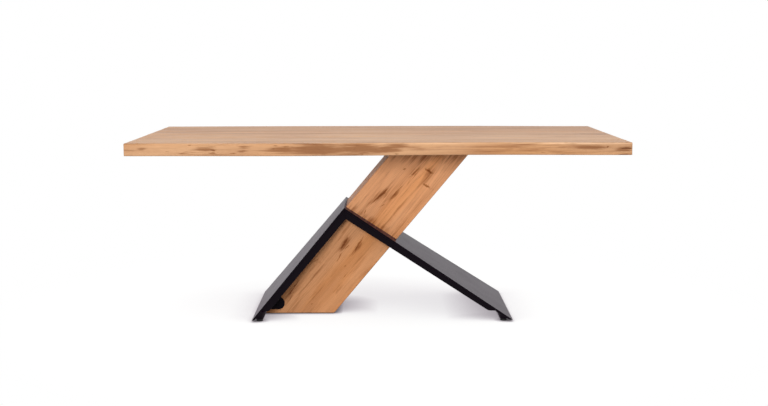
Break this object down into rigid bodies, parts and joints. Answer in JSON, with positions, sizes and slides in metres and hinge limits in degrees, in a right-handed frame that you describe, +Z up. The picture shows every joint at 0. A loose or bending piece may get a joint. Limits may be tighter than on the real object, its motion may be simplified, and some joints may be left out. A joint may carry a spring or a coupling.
{
  "type": "dining table",
  "caption": "Dining table with a natural-edge plank top on a leaning boxed timber leg, straddled by a black steel inverted V with levelling feet.",
  "frame": {"origin": "on the floor, under the middle of the top's box", "axes": "+X along the top, towards the side where the timber leg meets it; +Z up; -Y is the front"},
  "size_m": [2, 1.03, 0.77],
  "materials": {
    "oak_top": "oiled oak boards, matt",
    "oak_leg": "oiled oak boards, matt",
    "plywood": "raw plywood",
    "coated_steel": "satin black powder coat",
    "zinc_steel": "zinc plated",
    "black_plastic": "moulded, matt",
    "felt": "pressed felt"
  },
  "bodies": {
    "table": {"foot_boss_left_back": "coated_steel", "foot_boss_left_front": "coated_steel", "foot_boss_right_back": "coated_steel", "foot_boss_right_front": "coated_steel", "left_flange_back": "coated_steel", "left_flange_front": "coated_steel", "left_plate": "coated_steel", "leg_glide_left_back": "felt", "leg_glide_left_front": "felt", "leg_glide_right_back": "felt", "leg_glide_right_front": "felt", "lower_leg_back": "oak_leg", "lower_leg_floor": "plywood", "lower_leg_front": "oak_leg", "lower_leg_left": "oak_leg", "lower_leg_right": "oak_leg", "lower_post": "coated_steel", "mounting_plate": "coated_steel", "right_flange_back": "coated_steel", "right_flange_front": "coated_steel", "right_plate": "coated_steel", "stiffener_left": "coated_steel", "stiffener_right": "coated_steel", "toe_ear_back": "coated_steel", "toe_ear_front": "coated_steel", "top_board_1": "oak_top", "top_board_2": "oak_top", "top_board_3": "oak_top", "top_board_4": "oak_top", "top_board_5": "oak_top", "top_board_6": "oak_top", "top_board_7": "oak_top", "top_bolt_1": "zinc_steel", "top_bolt_2": "zinc_steel", "top_bolt_3": "zinc_steel", "top_bolt_4": "zinc_steel", "top_bolt_5": "zinc_steel", "top_bolt_6": "zinc_steel", "top_tongue_1": "plywood", "top_tongue_2": "plywood", "top_tongue_3": "plywood", "top_tongue_4": "plywood", "top_tongue_5": "plywood", "top_tongue_6": "plywood", "upper_leg_back": "oak_leg", "upper_leg_front": "oak_leg", "upper_leg_left": "oak_leg", "upper_leg_right": "oak_leg", "upper_post": "coated_steel"},
    "pad_left_front": {"foot_pad_left_front": "black_plastic"},
    "stem_left_front": {"foot_stem_left_front": "zinc_steel"},
    "pad_left_back": {"foot_pad_left_back": "black_plastic"},
    "stem_left_back": {"foot_stem_left_back": "zinc_steel"},
    "pad_right_front": {"foot_pad_right_front": "black_plastic"},
    "stem_right_front": {"foot_stem_right_front": "zinc_steel"},
    "pad_right_back": {"foot_pad_right_back": "black_plastic"},
    "stem_right_back": {"foot_stem_right_back": "zinc_steel"}
  },
  "joints": [
    {"name": "pad_travel_left_front", "type": "slide", "parent": "table", "child": "pad_left_front", "axis": [0, 0, 1], "range_m": [-0.005, 0]},
    {"name": "stem_turn_left_front", "type": "hinge", "parent": "pad_left_front", "child": "stem_left_front", "pos_m": [-0.50135, -0.2575, 0], "axis": [0, 0, 1], "range_deg": [-1201, 0]},
    {"name": "pad_travel_left_back", "type": "slide", "parent": "table", "child": "pad_left_back", "axis": [0, 0, 1], "range_m": [-0.005, 0]},
    {"name": "stem_turn_left_back", "type": "hinge", "parent": "pad_left_back", "child": "stem_left_back", "pos_m": [-0.50135, 0.2575, 0], "axis": [0, 0, 1], "range_deg": [-1201, 0]},
    {"name": "pad_travel_right_front", "type": "slide", "parent": "table", "child": "pad_right_front", "axis": [0, 0, 1], "range_m": [-0.005, 0]},
    {"name": "stem_turn_right_front", "type": "hinge", "parent": "pad_right_front", "child": "stem_right_front", "pos_m": [0.52676, -0.2575, 0], "axis": [0, 0, 1], "range_deg": [-1201, 0]},
    {"name": "pad_travel_right_back", "type": "slide", "parent": "table", "child": "pad_right_back", "axis": [0, 0, 1], "range_m": [-0.005, 0]},
    {"name": "stem_turn_right_back", "type": "hinge", "parent": "pad_right_back", "child": "stem_right_back", "pos_m": [0.52676, 0.2575, 0], "axis": [0, 0, 1], "range_deg": [-1201, 0]}
  ],
  "couplings": [
    {"joint": "stem_turn_left_front", "follows": "pad_travel_left_front", "rad_per_m": 4188.8},
    {"joint": "stem_turn_left_back", "follows": "pad_travel_left_back", "rad_per_m": 4188.8},
    {"joint": "stem_turn_right_front", "follows": "pad_travel_right_front", "rad_per_m": 4188.8},
    {"joint": "stem_turn_right_back", "follows": "pad_travel_right_back", "rad_per_m": 4188.8}
  ]
}
